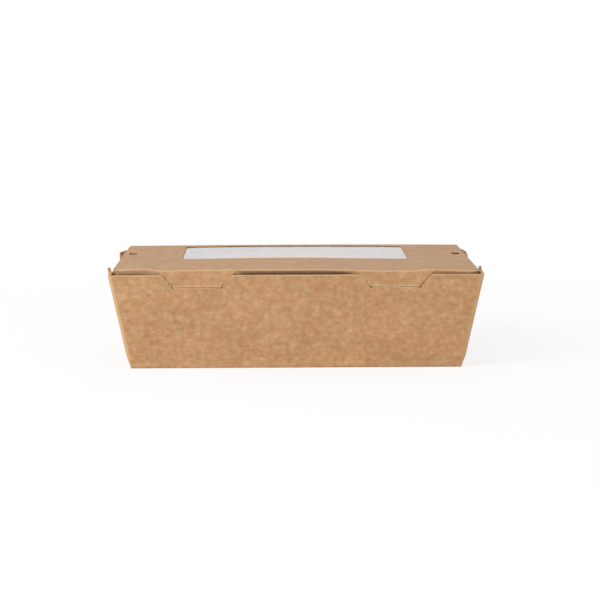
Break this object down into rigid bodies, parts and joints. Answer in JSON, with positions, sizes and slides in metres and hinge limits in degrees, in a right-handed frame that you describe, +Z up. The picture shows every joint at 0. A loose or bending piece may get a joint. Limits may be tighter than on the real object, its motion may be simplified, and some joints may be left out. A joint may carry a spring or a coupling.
{
  "type": "window lunch box",
  "caption": "Folded kraft board takeaway box with flared walls, folded web corners and a back-hinged lid with a clear window.",
  "frame": {"origin": "under the middle of the box's outline, in the plane it stands on", "axes": "+X to the right along the long side, +Y to the back towards the hinge, +Z up"},
  "size_m": [0.2066, 0.1211, 0.0558],
  "materials": {
    "kraft_board": "matt, brown kraft with fine fibres",
    "lid_board": "matt, brown kraft, slightly paler",
    "clear_film": "clear glossy film"
  },
  "bodies": {
    "tray": {"tray": "kraft_board"},
    "lid": {"lid": "lid_board", "window_film": "clear_film"}
  },
  "joints": [
    {"name": "lid_hinge", "type": "hinge", "parent": "tray", "child": "lid", "pos_m": [0, 0.0606, 0.0539], "axis": [-1, 0, 0], "range_deg": [0, 180]}
  ]
}
